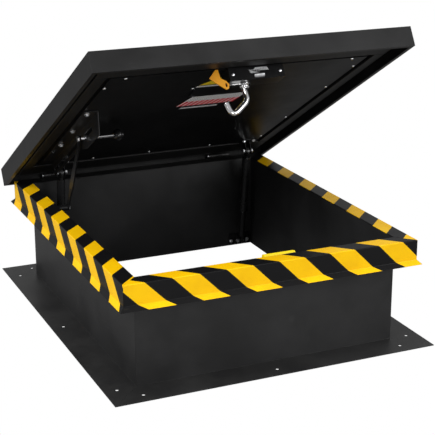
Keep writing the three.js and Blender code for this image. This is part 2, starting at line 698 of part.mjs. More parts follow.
// spindle with its cam, and the handles at its two ends
const spindleUp = COVER_HEIGHT + 26;
const hubUp = latchZ[0] - 9;
const cam = box(
  [SPINDLE.x - 5, SPINDLE.x + 17],
  [-SPINDLE.l - 9, -SPINDLE.l + 9],
  [latchZ[0] + 4, latchZ[0] + 9],
);
add(
  cover,
  "latch_spindle",
  join(bar([...spindleAt, hubUp + 1], [...spindleAt, spindleUp - 4], SPINDLE.radius - 1), cam),
  ZINC,
);

function collar(from, to, radius) {
  return cut(
    bar([...spindleAt, from], [...spindleAt, to], radius),
    bar([...spindleAt, from - 1], [...spindleAt, to + 1], SPINDLE.radius),
  );
}
add(cover, "outside_rose", collar(COVER_HEIGHT + GAP, COVER_HEIGHT + 6, 30), ZINC);

// inside rose: an oval cast plate under the housing
const roseZ = [latchZ[0] - 4 - GAP, latchZ[0] - GAP];
const rose = cut(
  join(
    bar([...spindleAt, roseZ[0]], [...spindleAt, roseZ[1]], 17),
    bar([SPINDLE.x - 38, -SPINDLE.l, roseZ[0]], [SPINDLE.x - 38, -SPINDLE.l, roseZ[1]], 11),
    box([SPINDLE.x - 38, SPINDLE.x], [-SPINDLE.l - 11, -SPINDLE.l + 11], roseZ),
  ),
  spindleHole,
);
add(cover, "inside_rose", rose, CHROME);

// handle of bent bar that hangs from a hub: one long leg, a round bottom and a short leg
function bentHandle() {
  const path = new THREE.CurvePath();
  const top = hubUp + 3;
  const p = (x, down) => new THREE.Vector3(SPINDLE.x + x, -SPINDLE.l, top - down);
  path.add(new THREE.LineCurve3(p(-1, 0), p(1, 22)));
  path.add(new THREE.QuadraticBezierCurve3(p(1, 22), p(2, 42), p(-14, 52)));
  path.add(new THREE.LineCurve3(p(-14, 52), p(-32, 66)));
  path.add(new THREE.QuadraticBezierCurve3(p(-32, 66), p(-50, 80), p(-56, 60)));
  path.add(new THREE.LineCurve3(p(-56, 60), p(-61, 40)));
  const section = new THREE.Shape().absellipse(0, 0, 8, 8, 0, 2 * Math.PI, false);
  const grip = new THREE.ExtrudeGeometry(section, {
    steps: 36,
    curveSegments: 7,
    bevelEnabled: false,
    extrudePath: path,
  });
  const hub = bar([...spindleAt, hubUp - 3], [...spindleAt, roseZ[0] - GAP], 13);
  const socket = bar(
    [...spindleAt, hubUp + 1 - GAP],
    [...spindleAt, roseZ[0] + 1],
    SPINDLE.radius - 1 + GAP,
  );
  return cut(join(grip, hub), socket);
}
add(cover, "inside_handle", bentHandle(), CHROME);

const gripZ = [COVER_HEIGHT + 7, COVER_HEIGHT + 26];
const outsideGrip = join(
  bar([...spindleAt, gripZ[0]], [...spindleAt, gripZ[1]], 15),
  box([SPINDLE.x, SPINDLE.x + 96], [-SPINDLE.l - 9, -SPINDLE.l + 9], [gripZ[1] - 11, gripZ[1] - 1]),
  bar([SPINDLE.x + 96, -SPINDLE.l, gripZ[1] - 11], [SPINDLE.x + 96, -SPINDLE.l, gripZ[1] - 1], 9),
);
const gripSocket = bar(
  [...spindleAt, gripZ[0] - 1],
  [...spindleAt, spindleUp - 4 + GAP],
  SPINDLE.radius - 1 + GAP,
);
add(cover, "outside_handle", cut(outsideGrip, gripSocket), ZINC);

// lock tab: a painted plate beside the housing, with a ring for a padlock
const tabX = latchX[0] - 22;
const tabShape = new THREE.Shape(
  [
    [-12, LINER_UNDER - GAP],
    [-5, LINER_UNDER - GAP],
    [-3, -6],
    [12, -15],
    [19, -25],
    [15, -36],
    [8, -38],
    [-16, -20],
    [-34, -4],
  ].map((p) => new THREE.Vector2(...p)),
);
const tabPlate = new THREE.ExtrudeGeometry(tabShape, { depth: 3, bevelEnabled: false, curveSegments: 8 })
  .rotateX(Math.PI / 2)
  .translate(tabX, -LATCH.l + 8, 0);
const tabFoot = box(
  [tabX - 12, tabX - 5],
  [-LATCH.l + 6, -LATCH.l + 26],
  [LINER_UNDER - GAP - 3, LINER_UNDER - GAP],
);
const ringHole = new THREE.CylinderGeometry(3, 3, 20, 16)
  .scale(1, 1, 2)
  .translate(tabX + 10, -LATCH.l + 8, -26);
add(cover, "lock_tab", cut(join(tabPlate, tabFoot), ringHole), ORANGE);

// ---------------------------------------------------------------- strike

const strikeWall = -CLEAR_DEPTH / 2 + GAP;
const strikeEnds = [STRIKE.x - STRIKE.length / 2, STRIKE.x + STRIKE.length / 2];
const strikeBar = turned(
  [
    [0, strikeEnds[0]],
    [STRIKE.radius, strikeEnds[0]],
    [STRIKE.radius, strikeEnds[1] - 6],
    [STRIKE.radius * 0.8, strikeEnds[1] - 2],
    [0, strikeEnds[1]],
  ],
).rotateY(Math.PI / 2);
add(hatch, "strike_bar", strikeBar.translate(0, STRIKE.y, STRIKE.z), HAZARD);
const saddle = [strikeWall, STRIKE.y - STRIKE.radius - GAP];
const strikeBracket = join(
  box([STRIKE.x - 32, STRIKE.x + 32], [strikeWall, strikeWall + 3], [STRIKE.z - 50, STRIKE.z + 3]),
  box([STRIKE.x - 32, STRIKE.x - 20], saddle, [STRIKE.z - 6, STRIKE.z + 3]),
  box([STRIKE.x + 20, STRIKE.x + 32], saddle, [STRIKE.z - 6, STRIKE.z + 3]),
);
add(hatch, "strike_bracket", strikeBracket, BLACK);

export default hatch;
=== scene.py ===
# %% [markdown]
# # A roof access hatch
# The hatch is a black powder-coated steel box. A flange screws it to the roof, a folded cap with yellow and
# black tape runs round its rim, and an insulated cover swings on hinges at the back. Two telescoping tubes
# help to lift the cover, a slotted arm holds it open, and a handle turns a latch at the front. The packed
# CAD model is the frame of this lesson. Its solids stay where they are and get their finish here, and the
# small things that CAD leaves out, such as screw heads, labels and printed sheets, are modelled on top.

# %% Load the frame
import json
import math

import bmesh
import bpy
from mathutils import Matrix, Vector


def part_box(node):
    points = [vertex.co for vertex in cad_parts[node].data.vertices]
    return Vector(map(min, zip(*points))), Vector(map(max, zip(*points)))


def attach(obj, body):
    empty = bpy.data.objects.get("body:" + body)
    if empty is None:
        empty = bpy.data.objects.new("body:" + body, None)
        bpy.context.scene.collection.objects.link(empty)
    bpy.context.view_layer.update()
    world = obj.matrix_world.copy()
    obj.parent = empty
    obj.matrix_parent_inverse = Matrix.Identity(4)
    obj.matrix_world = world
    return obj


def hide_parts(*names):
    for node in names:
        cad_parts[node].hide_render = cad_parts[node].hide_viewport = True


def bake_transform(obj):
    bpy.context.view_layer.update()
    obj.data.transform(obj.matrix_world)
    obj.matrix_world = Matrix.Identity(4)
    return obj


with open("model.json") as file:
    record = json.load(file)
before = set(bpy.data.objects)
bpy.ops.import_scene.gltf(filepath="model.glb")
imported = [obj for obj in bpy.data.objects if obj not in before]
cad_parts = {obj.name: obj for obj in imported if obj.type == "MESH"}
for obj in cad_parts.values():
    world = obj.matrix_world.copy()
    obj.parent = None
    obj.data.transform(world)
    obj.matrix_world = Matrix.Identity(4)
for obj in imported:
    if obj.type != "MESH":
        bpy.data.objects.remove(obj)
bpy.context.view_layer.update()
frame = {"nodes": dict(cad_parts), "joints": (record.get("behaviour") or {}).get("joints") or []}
MM = 0.001

# %% [markdown]
# ## The camera
# The view looks down at the open hatch from the front left. A camera in Blender looks along its own -Z, so
# tipping it up from the floor by 90 degrees less the pitch, and then turning it about Z, aims it. A long
# lens keeps the far edges nearly as long as the near ones, as a product view does.

# %% Camera
CAMERA_PLACE = Vector((-1.40086, -3.26192, 1.42974))
CAMERA_YAW, CAMERA_PITCH = math.radians(24.02), math.radians(18.0)
LENS_MM = 104.2

camera = bpy.data.objects.new("camera", bpy.data.cameras.new("camera"))
camera.data.lens = LENS_MM
camera.data.sensor_width = 36
camera.location = CAMERA_PLACE
camera.rotation_euler = (math.pi / 2 - CAMERA_PITCH, 0, -CAMERA_YAW)
bpy.context.scene.collection.objects.link(camera)
bpy.context.scene.camera = camera
bpy.context.scene.view_settings.view_transform = "Standard"

# %% [markdown]
# ## The cover's own frame
# The cover stands open, so anything that is screwed to it is slanted. It is easier to lay such pieces out
# on a closed cover: x across, y from the rear edge (0) forward (negative), z up from the cover's bottom
# edge. One matrix takes that layout to the open cover. The hinge joint in the frame says where the axis is,
# and the end of its range says how far open the cover stands.

# %% Cover frame
HINGE_BACK = 12 * MM  # hinge axis in from the cover's rear face
HINGE_UP = 16 * MM  # hinge axis up from the cover's bottom edge

joints = {joint["name"]: joint for joint in frame["joints"]}
hinge = joints["cover_hinge"]
cover_open = math.radians(-hinge["range_deg"][0])
COVER = (
    Matrix.Translation(hinge["pos_m"])
    @ Matrix.Rotation(-cover_open, 4, "X")
    @ Matrix.Translation((0, HINGE_BACK, -HINGE_UP))
)
CURB = Matrix.Identity(4)


def cover_box(node):
    """A CAD node's lowest and highest corners in the cover's own frame."""
    back = COVER.inverted()
    points = [back @ vertex.co for vertex in frame["nodes"][node].data.vertices]
    low = Vector(min(p[i] for p in points) for i in range(3))
    high = Vector(max(p[i] for p in points) for i in range(3))
    return low, high


LINER_UNDER = cover_box("cover_liner")[0].z
print(f"cover stands open {math.degrees(cover_open):.0f} degrees, liner {LINER_UNDER / MM:.1f} mm up")

# %% [markdown]
# ## Floor and light
# A catalogue picture is often cut out and laid on white, so the white is behind the object but does not
# shine on it. The Light Path node does the same: rays from the camera see white, and all other rays see a
# grey room and floor. Black powder coat shows only what it reflects, so the shape is drawn by big soft
# lamps: one high on the left, which makes the left faces greyer than the front ones, and a weaker one on
# the right for the far rim. A small low one throws some light up under the cover, where the latch and the
# printed sheets are.

# %% Helpers for shader trees
def add_node(tree, kind, inputs=(), **settings):
    """A node with its settings, and inputs given as {name: socket or value}."""
    node = tree.nodes.new("ShaderNode" + kind)
    for key, value in settings.items():
        setattr(node, key, value)
    for key, value in dict(inputs).items():
        if isinstance(value, bpy.types.NodeSocket):
            tree.links.new(value, node.inputs[key])
        else:
            node.inputs[key].default_value = value
    return node


def math_node(tree, operation, *values, clamp=False):
    return add_node(tree, "Math", enumerate(values), operation=operation, use_clamp=clamp).outputs[0]


def ramp(tree, value, low, high):
    """0 below low, 1 above high, smooth in between."""
    inputs = {"Value": value, "From Min": low, "From Max": high}
    return add_node(tree, "MapRange", inputs, interpolation_type="SMOOTHSTEP").outputs[0]


def mix(tree, factor, a, b):
    """A colour between a and b."""
    node = add_node(tree, "Mix", data_type="RGBA")
    for socket, value in ((node.inputs[0], factor), (node.inputs[6], a), (node.inputs[7], b)):
        if isinstance(value, bpy.types.NodeSocket):
            tree.links.new(value, socket)
        else:
            socket.default_value = value if socket.type == "VALUE" else (*value, 1)
    return node.outputs[2]


def new_material(name, color=(0.8, 0.8, 0.8), **sockets):
    """A material with its Principled shader and its Object coordinates."""
    material = bpy.data.materials.new(name)
    material.use_nodes = True
    shader = material.node_tree.nodes["Principled BSDF"]
    shader.inputs["Base Color"].default_value = (*color, 1)
    for key, value in sockets.items():
        shader.inputs[key.replace("_", " ")].default_value = value
    coordinates = material.node_tree.nodes.new("ShaderNodeTexCoord").outputs["Object"]
    return material, material.node_tree, shader, coordinates


# %% Floor and lights
FLOOR_COLOR = (0.22, 0.22, 0.22)
FLOOR_HALF = 60
ROOM_LIGHT = 0.42


def make_floor():
    bm = bmesh.new()
    bmesh.ops.create_grid(bm, x_segments=1, y_segments=1, size=FLOOR_HALF)
    mesh = bpy.data.meshes.new("floor")
    bm.to_mesh(mesh)
    bm.free()
    floor = bpy.data.objects.new("floor", mesh)
    floor.location.z = -0.0006
    bpy.context.scene.collection.objects.link(floor)
    material, tree, shader, _ = new_material("floor_white", FLOOR_COLOR, Roughness=0.8)
    white = add_node(tree, "Emission", {"Color": (1, 1, 1, 1), "Strength": 1.0})
    seen = tree.nodes.new("ShaderNodeLightPath").outputs["Is Camera Ray"]
    both = add_node(tree, "MixShader", {0: seen, 1: shader.outputs[0], 2: white.outputs[0]})
    tree.links.new(both.outputs[0], tree.nodes["Material Output"].inputs["Surface"])
    mesh.materials.append(material)


def make_world():
    world = bpy.data.worlds.new("white_room")
    world.use_nodes = True
    tree = world.node_tree
    seen = tree.nodes.new("ShaderNodeLightPath").outputs["Is Camera Ray"]
    strength = math_node(tree, "MAXIMUM", seen, ROOM_LIGHT)
    tree.nodes["Background"].inputs["Color"].default_value = (1, 1, 1, 1)
    tree.links.new(strength, tree.nodes["Background"].inputs["Strength"])
    bpy.context.scene.world = world


def make_lamp(name, place, target, size, power):
    data = bpy.data.lights.new(name, "AREA")
    data.shape, data.size, data.energy = "SQUARE", size, power
    lamp = bpy.data.objects.new(name, data)
    lamp.location = place
    lamp.rotation_euler = (Vector(target) - Vector(place)).to_track_quat("-Z", "Y").to_euler()
    bpy.context.scene.collection.objects.link(lamp)


make_floor()
make_world()
make_lamp("key", (-3.2, -1.2, 2.6), (0, 0, 0.3), 2.2, 150)
make_lamp("fill", (2.4, -3.4, 1.6), (0, 0, 0.3), 2.2, 75)
make_lamp("top", (0.2, 0.2, 4.2), (0, 0, 0.3), 2.6, 60)
make_lamp("bounce", (-0.5, -2.9, 0.4), (0, 0.1, 0.7), 0.9, 13)

# %% [markdown]
# ## Effects that several finishes share
# Powder coat, tape and plated steel have things in common: a fine grain, a broad unevenness, scuffs and
# dust on what faces up. Each effect is a shader node group with named inputs, so that it is built
# once and placed in each material with its own amounts. A group gives out only values and heights, and the
# shader stays outside.

# %% Shared shader groups
BAND_WOBBLE = 0.0015  # how far a band's edge wanders, in metres
BAND_EDGE = 0.006  # width of a band's worn edge, as a share of the period


def new_group(name, inputs, outputs):
    """A shader group: inputs are (name, socket type, default), outputs are (name, socket type)."""
    tree = bpy.data.node_groups.new(name, "ShaderNodeTree")
    for label, kind, value in inputs:
        socket = tree.interface.new_socket(label, in_out="INPUT", socket_type="NodeSocket" + kind)
        socket.default_value = value
    for label, kind in outputs:
        tree.interface.new_socket(label, in_out="OUTPUT", socket_type="NodeSocket" + kind)
    given = tree.nodes.new("NodeGroupInput").outputs
    return tree, given, tree.nodes.new("NodeGroupOutput").inputs


def place_group(tree, group, **inputs):
    """The group's outputs, with its inputs given by name."""
    node = tree.nodes.new("ShaderNodeGroup")
    node.node_tree = group
    for key, value in inputs.items():
        socket = node.inputs[key.replace("_", " ")]
        if isinstance(value, bpy.types.NodeSocket):
            tree.links.new(value, socket)
        else:
            socket.default_value = value
    return node.outputs


def noise(tree, vector, scale, detail=3.0, roughness=0.55):
    inputs = {"Vector": vector, "Scale": scale, "Detail": detail, "Roughness": roughness}
    return add_node(tree, "TexNoise", inputs).outputs["Fac"]


def make_grain_group():
    """Sprayed or rolled surfaces: a fine grain in Height, and broad clouds in Clouds."""
    tree, given, out = new_group(
        "coat_grain",
        [("Vector", "Vector", (0, 0, 0)), ("Grain Scale", "Float", 700.0), ("Cloud Scale", "Float", 5.0)],
        [("Height", "Float"), ("Clouds", "Float")],
    )
    fine = noise(tree, given["Vector"], given["Grain Scale"], 2.0)
    middle = noise(tree, given["Vector"], math_node(tree, "MULTIPLY", given["Grain Scale"], 0.22), 1.0)
    fine_share = math_node(tree, "MULTIPLY", fine, 0.6)
    height = math_node(tree, "ADD", fine_share, math_node(tree, "MULTIPLY", middle, 0.4))
    tree.links.new(height, out["Height"])
    tree.links.new(noise(tree, given["Vector"], given["Cloud Scale"], 4.0), out["Clouds"])
    return tree


def make_dust_group():
    """Dust that settles on faces that look up, in patches."""
    tree, given, out = new_group(
        "settled_dust",
        [("Vector", "Vector", (0, 0, 0)), ("Amount", "Float", 0.3), ("Patch Scale", "Float", 9.0)],
        [("Mask", "Float")],
    )
    normal = tree.nodes.new("ShaderNodeNewGeometry").outputs["Normal"]
    up = ramp(tree, add_node(tree, "SeparateXYZ", {0: normal}).outputs["Z"], 0.2, 0.95)
    patches = ramp(tree, noise(tree, given["Vector"], given["Patch Scale"], 6.0, 0.65), 0.35, 0.75)
    mask = math_node(tree, "MULTIPLY", math_node(tree, "MULTIPLY", up, patches), given["Amount"])
    tree.links.new(mask, out["Mask"])
    return tree


def make_scuff_group():
    """Short, thin scratches, as handling leaves on a coat."""
    tree, given, out = new_group(
        "scuffs",
        [("Vector", "Vector", (0, 0, 0)), ("Scale", "Float", 14.0), ("Amount", "Float", 0.5)],
        [("Mask", "Float")],
    )
    stretch = {"Vector": given["Vector"], "Rotation": (0.5, 0.9, 0.4), "Scale": (1, 14, 1)}
    stretched = add_node(tree, "Mapping", stretch)
    lines = noise(tree, stretched.outputs[0], given["Scale"], 2.0)
    where = noise(tree, given["Vector"], 7.0, 2.0)
    thin = ramp(tree, lines, 0.70, 0.76)
    patches = math_node(tree, "MULTIPLY", thin, ramp(tree, where, 0.5, 0.7))
    mask = math_node(tree, "MULTIPLY", patches, given["Amount"])
    tree.links.new(mask, out["Mask"])
    return tree


def make_stripe_group():
    """Slanted bands: Mask is 1 on a band. Slant is the direction that crosses the bands."""
    tree, given, out = new_group(
        "hazard_bands",
        [
            ("Vector", "Vector", (0, 0, 0)),
            ("Slant", "Vector", (1, 0, 0)),
            ("Start", "Float", 0.0),
            ("Period", "Float", 0.15),
            ("Share", "Float", 0.5),
        ],
        [("Mask", "Float"), ("Edge", "Float")],
    )
    across = add_node(tree, "VectorMath", {0: given["Vector"], 1: given["Slant"]}, operation="DOT_PRODUCT")
    uneven = math_node(tree, "SUBTRACT", noise(tree, given["Vector"], 40.0), 0.5)
    wobble = math_node(tree, "MULTIPLY", uneven, BAND_WOBBLE)
    from_start = math_node(tree, "SUBTRACT", across.outputs["Value"], given["Start"])
    place = math_node(tree, "ADD", from_start, wobble)
    turn = math_node(tree, "FRACT", math_node(tree, "DIVIDE", place, given["Period"]))
    tree.links.new(math_node(tree, "LESS_THAN", turn, given["Share"]), out["Mask"])
    gap = math_node(tree, "ABSOLUTE", math_node(tree, "SUBTRACT", turn, given["Share"]))
    turn_end = math_node(tree, "MINIMUM", turn, math_node(tree, "SUBTRACT", 1.0, turn))
    near = math_node(tree, "MINIMUM", gap, turn_end)
    tree.links.new(math_node(tree, "LESS_THAN", near, BAND_EDGE), out["Edge"])
    return tree


GRAIN, DUST, SCUFFS, BANDS = make_grain_group(), make_dust_group(), make_scuff_group(), make_stripe_group()
print("shader groups:", [group.name for group in (GRAIN, DUST, SCUFFS, BANDS)])

# %% [markdown]
# ## Finishes
# Powder coat is a thick plastic film baked on steel: near black, a little rough, with the fine dimples
# called orange peel. The dimples are a bump, and slow changes of roughness keep large panels from looking
# flat.

# %% Coats and plain finishes
DUST_COLOR = (0.30, 0.29, 0.27)


def coated(
    name,
    color,
    rough,
    grain_scale=700.0,
    bump=0.05,
    dust=0.0,
    scuff=0.15,
    scuff_color=(0.06, 0.06, 0.06),
    gloss=0.5,
):
    """Powder coat, paint or moulded plastic. gloss is how much light the film's surface throws back."""
    material, tree, shader, at = new_material(name, color, Specular_IOR_Level=gloss)
    grain = place_group(tree, GRAIN, Vector=at, Grain_Scale=grain_scale)
    scuffs = place_group(tree, SCUFFS, Vector=at, Amount=scuff)["Mask"]
    settled = place_group(tree, DUST, Vector=at, Amount=dust)["Mask"]
    pale = tuple(min(1.0, c * 1.35 + 0.002) for c in color)
    clouds = ramp(tree, grain["Clouds"], 0.3, 0.7)
    shade = mix(tree, clouds, tuple(c * 0.8 for c in color), pale)
    shade = mix(tree, scuffs, shade, scuff_color)
    tree.links.new(mix(tree, settled, shade, DUST_COLOR), shader.inputs["Base Color"])
    shift = math_node(tree, "MULTIPLY_ADD", clouds, 0.12, rough - 0.06)
    roughness = math_node(tree, "ADD", shift, math_node(tree, "MULTIPLY", settled, 0.5), clamp=True)
    tree.links.new(roughness, shader.inputs["Roughness"])
    height = add_node(tree, "Bump", {"Height": grain["Height"], "Strength": bump, "Distance": 0.001})
    tree.links.new(height.outputs[0], shader.inputs["Normal"])
    return material


def steel(name, color, rough, along="X", lines=0.5, stain=0.2):
    """Plated, brushed or polished steel, with fine drawing lines along one axis."""
    material, tree, shader, at = new_material(name, color, Metallic=1.0)
    stretch = {"X": (30, 900, 900), "Y": (900, 30, 900), "Z": (900, 900, 30)}[along]
    mapped = add_node(tree, "Mapping", {"Vector": at, "Scale": stretch}).outputs[0]
    marks = noise(tree, mapped, 1.0, 2.0)
    stains = ramp(tree, noise(tree, at, 60.0, 4.0), 0.45, 0.75)
    dull = tuple(c * (1 - stain) for c in color)
    tree.links.new(mix(tree, stains, color, dull), shader.inputs["Base Color"])
    base = math_node(tree, "MULTIPLY_ADD", marks, 0.10 * lines, rough)
    tree.links.new(math_node(tree, "MULTIPLY_ADD", stains, 0.12, base), shader.inputs["Roughness"])
    height = add_node(tree, "Bump", {"Height": marks, "Strength": 0.08 * lines, "Distance": 0.0005})
    tree.links.new(height.outputs[0], shader.inputs["Normal"])
    return material


BLACK = (0.0030, 0.0030, 0.0032)
curb_coat = coated("curb_powder_coat", (0.0115, 0.0115, 0.0118), 0.44, dust=0.03, gloss=0.38)
cover_coat = coated("cover_powder_coat", (0.0095, 0.0095, 0.0098), 0.44, dust=0.03, gloss=0.26)
liner_coat = coated("liner_coat", BLACK, 0.36, bump=0.03, scuff=0.05, gloss=0.09)
bracket_coat = coated(
    "bracket_paint", (0.0045, 0.0045, 0.005), 0.34, grain_scale=900, bump=0.03, scuff=0.3, gloss=0.25
)
tube_coat = coated("tube_enamel", (0.0075, 0.0075, 0.008), 0.30, grain_scale=500, bump=0.02, scuff=0.2)
inner_coat = coated("inner_tube_enamel", (0.004, 0.004, 0.0045), 0.36, grain_scale=500, bump=0.02, scuff=0.1)
rubber = coated("gasket_rubber", (0.006, 0.006, 0.006), 0.50, grain_scale=1200, bump=0.12, scuff=0, gloss=0.2)
knob_plastic = coated("moulded_plastic", (0.008, 0.008, 0.0085), 0.22, grain_scale=1500, bump=0.02, scuff=0.2)
foam = coated("foam_board", (0.56, 0.48, 0.26), 0.9, grain_scale=260, bump=0.5, scuff=0)
orange_paint = coated(
    "orange_paint", (0.86, 0.33, 0.012), 0.36, bump=0.04, scuff=0.3, scuff_color=(0.5, 0.45, 0.4)
)
strike_paint = coated(
    "strike_paint", (0.90, 0.56, 0.01), 0.34, bump=0.06, scuff=0.5, scuff_color=(0.4, 0.35, 0.2)
)
zinc = steel("zinc_plate", (0.88, 0.89, 0.91), 0.30)
chrome = steel("polished_steel", (0.88, 0.88, 0.89), 0.07, lines=0.15, stain=0.08)
spring_steel = steel("spring_steel", (0.42, 0.43, 0.45), 0.3, along="Z")

# %% [markdown]
# ## Hazard tape
# The front and the sides of the cap are wrapped in tape with bands at 45 degrees, and the hinge side has
# none. The bands go over the top, turn down the face and run on down the flare. The distance across the
# bands is therefore the length along the side plus or minus how far the point has gone outwards and
# downwards, which is one dot product with a slanted vector.

# %% Tape on three sides of the cap
PERIOD, YELLOW_SHARE = 150.5 * MM, 76.5 / 150.5
TAPE_YELLOW = (0.92, 0.54, 0.002)
TAPE_BLACK = (0.0055, 0.0055, 0.006)

cap_low, cap_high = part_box("cap_front")
side_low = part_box("cap_left")[0]
FLARE = 12 * MM
CAP_TOP = cap_high.z
FACE_FRONT = -cap_low.y - FLARE
FACE_SIDE = -side_low.x - FLARE


def tape(name, along, outward, face, turn, start):
    """Tape on one side: along and outward are unit vectors, turn is 1 or -1, start places the first band."""
    material, tree, shader, at = new_material(name, TAPE_YELLOW, Specular_IOR_Level=0.16)
    slant = Vector(along) + turn * (Vector(outward) - Vector((0, 0, 1)))
    offset = start - turn * (CAP_TOP - face)
    bands = place_group(tree, BANDS, Vector=at, Slant=slant, Start=offset, Period=PERIOD, Share=YELLOW_SHARE)
    grain = place_group(tree, GRAIN, Vector=at, Grain_Scale=420.0, Cloud_Scale=14.0)
    scuffs = place_group(tree, SCUFFS, Vector=at, Amount=0.35)["Mask"]
    faded = mix(tree, ramp(tree, grain["Clouds"], 0.35, 0.7), TAPE_YELLOW, (0.86, 0.48, 0.002))
    printed = mix(tree, bands["Mask"], TAPE_BLACK, faded)
    printed = mix(tree, bands["Edge"], printed, (0.10, 0.07, 0.005))
    tree.links.new(mix(tree, scuffs, printed, (0.22, 0.19, 0.12)), shader.inputs["Base Color"])
    rough = math_node(tree, "MULTIPLY_ADD", grain["Clouds"], 0.14, 0.30)
    tree.links.new(rough, shader.inputs["Roughness"])
    creases = noise(tree, at, 26.0, 3.0, 0.4)
    height = math_node(tree, "MULTIPLY_ADD", grain["Height"], 0.12, creases)
    bump = add_node(tree, "Bump", {"Height": height, "Strength": 0.10, "Distance": 0.004})
    tree.links.new(bump.outputs[0], shader.inputs["Normal"])
    return material


tapes = {
    "cap_front": tape("tape_front", (1, 0, 0), (0, -1, 0), FACE_FRONT, -1, 4.5 * MM),
    "cap_left": tape("tape_left", (0, 1, 0), (-1, 0, 0), FACE_SIDE, 1, 28 * MM),
    "cap_right": tape("tape_right", (0, 1, 0), (1, 0, 0), FACE_SIDE, -1, 78 * MM),
}
print(f"tape period {PERIOD / MM:.1f} mm, faces at {FACE_FRONT / MM:.0f} and {FACE_SIDE / MM:.0f} mm")

# %% [markdown]
# ## Finish and soft edges for the CAD nodes
# A CAD mesh has knife edges, and a real sheet has none: a bent or cut edge is rounded and catches a thin
# line of light. The meshes are loose triangles, so modifiers do it: Weld joins them, Decimate dissolves the
# flat ones into whole faces, Bevel rounds what is left, and Weighted Normal lets the large faces decide the
# shading, so that they stay flat right up to their rounded edges. Nothing in the mesh itself is touched.

# %% Give each node its material and its edges
FINISHES = {
    "curb_": curb_coat, "cap_rear": curb_coat, "hinge_curb": curb_coat,
    "hinge_cover": cover_coat, "cover_shell": cover_coat,
    "cover_liner": liner_coat, "cover_insulation": foam, "gasket": rubber, "lift_inner": inner_coat,
    "lift_outer": tube_coat, "lift_bush": knob_plastic, "lift_spring": spring_steel,
    "lift_foot_bracket": bracket_coat,
    "lift_head_bracket": bracket_coat, "arm_curb_bracket": bracket_coat, "hold_open_arm": bracket_coat,
    "slotted_bracket": bracket_coat, "strike_bracket": bracket_coat, "latch_housing": bracket_coat,
    "lift_foot_pin": zinc, "lift_head_pin": zinc, "arm_pin": zinc, "hinge_pin": zinc, "arm_pivot_bolt": zinc,
    "arm_spacer": zinc, "latch_bolt": zinc, "latch_spindle": zinc, "outside": zinc, "inside": chrome,
    "release_rod": chrome, "release_knob": knob_plastic, "lock_tab": orange_paint, "strike_bar": strike_paint,
}
EDGES = {"cover_shell": 1.6, "curb_": 0.9, "cap_": 0.9, "cover_liner": 1.0, "gasket": 2.5, "slotted": 0.6,
         "latch_housing": 0.8, "hold_open": 0.7, "lock_tab": 0.7, "hinge": 0.4}
PLAIN_EDGE = 0.5


def longest_match(table, node, default=None):
    keys = [key for key in table if node.startswith(key)]
    return table[max(keys, key=len)] if keys else default


def soften(piece, width):
    """Rounds a piece's sharp edges by width, in millimetres."""
    weld = piece.modifiers.new("weld", "WELD")
    weld.merge_threshold = 1e-5
    flat = piece.modifiers.new("flat_faces", "DECIMATE")
    flat.decimate_type = "DISSOLVE"
    flat.angle_limit = math.radians(0.6)
    bevel = piece.modifiers.new("soft_edges", "BEVEL")
    bevel.width = width * MM
    bevel.segments = 2
    bevel.limit_method = "ANGLE"
    bevel.angle_limit = math.radians(35)
    even = piece.modifiers.new("flat_shading", "WEIGHTED_NORMAL")
    even.weight = 100
    even.keep_sharp = True
    for polygon in piece.data.polygons:
        polygon.use_smooth = True


for name, piece in frame["nodes"].items():
    finish = tapes.get(name) or longest_match(FINISHES, name)
    piece.data.materials.clear()
    piece.data.materials.append(finish)
    if not name.startswith(("lift_spring", "inside_handle", "release_knob")):
        soften(piece, longest_match(EDGES, name, PLAIN_EDGE))
    else:
        piece.modifiers.new("weld", "WELD").merge_threshold = 1e-5
        for polygon in piece.data.polygons:
            polygon.use_smooth = True

# %% [markdown]
# ## Screws and bolts
# Every bracket is held by fasteners. Two kinds do: a hex-head bolt with a washer for brackets, and a domed
# screw with a socket for sheet metal. Each is made by bmesh operators, standing on z = 0 at the origin, and
# then copied to each place with a turn that points its head away from the sheet.

# %% Fastener shapes
def turned_ring(bm, points, steps=20):
    """A closed surface of revolution about Z from (radius, height) points that start and end on the axis."""
    verts = [bm.verts.new((r * MM, 0, z * MM)) for r, z in points]
    edges = [bm.edges.new(pair) for pair in zip(verts, verts[1:])]
    bmesh.ops.spin(
        bm, geom=verts + edges, axis=(0, 0, 1), cent=(0, 0, 0), steps=steps,
        angle=2 * math.pi, use_merge=True,
    )
    bmesh.ops.remove_doubles(bm, verts=bm.verts, dist=1e-6)


def hex_bolt(across=10.0, head=5.0, washer=8.5):
    """A washer and a chamfered hexagonal head."""
    bm = bmesh.new()
    turned_ring(bm, [(0, 0), (washer, 0), (washer, 0.9), (washer - 0.5, 1.3), (0, 1.3)])
    nut = bmesh.ops.create_cone(
        bm, cap_ends=True, segments=6, radius1=across / 2 * MM / math.cos(math.pi / 6),
        radius2=across / 2 * MM / math.cos(math.pi / 6), depth=head * MM,
    )["verts"]
    bmesh.ops.translate(bm, verts=nut, vec=(0, 0, (1.2 + head / 2) * MM))
    rim = [e for e in bm.edges if all(v in nut and v.co.z > head * 0.9 * MM for v in e.verts)]
    bmesh.ops.bevel(
        bm, geom=rim, offset=0.7 * MM, offset_type="OFFSET", segments=2, profile=0.5,
        affect="EDGES", material=-1,
    )
    return bm


def domed_screw(radius=4.5, height=2.6):
    """A domed head with a round socket."""
    bm = bmesh.new()
    arc = [(radius * math.cos(a), height * math.sin(a)) for a in (0.0, 0.35, 0.7, 1.0, 1.25)]
    socket, floor = radius * 0.22, height * 0.4
    turned_ring(bm, [(0, 0), *arc, (socket, height), (socket, floor), (0, floor)], 18)
    return bm


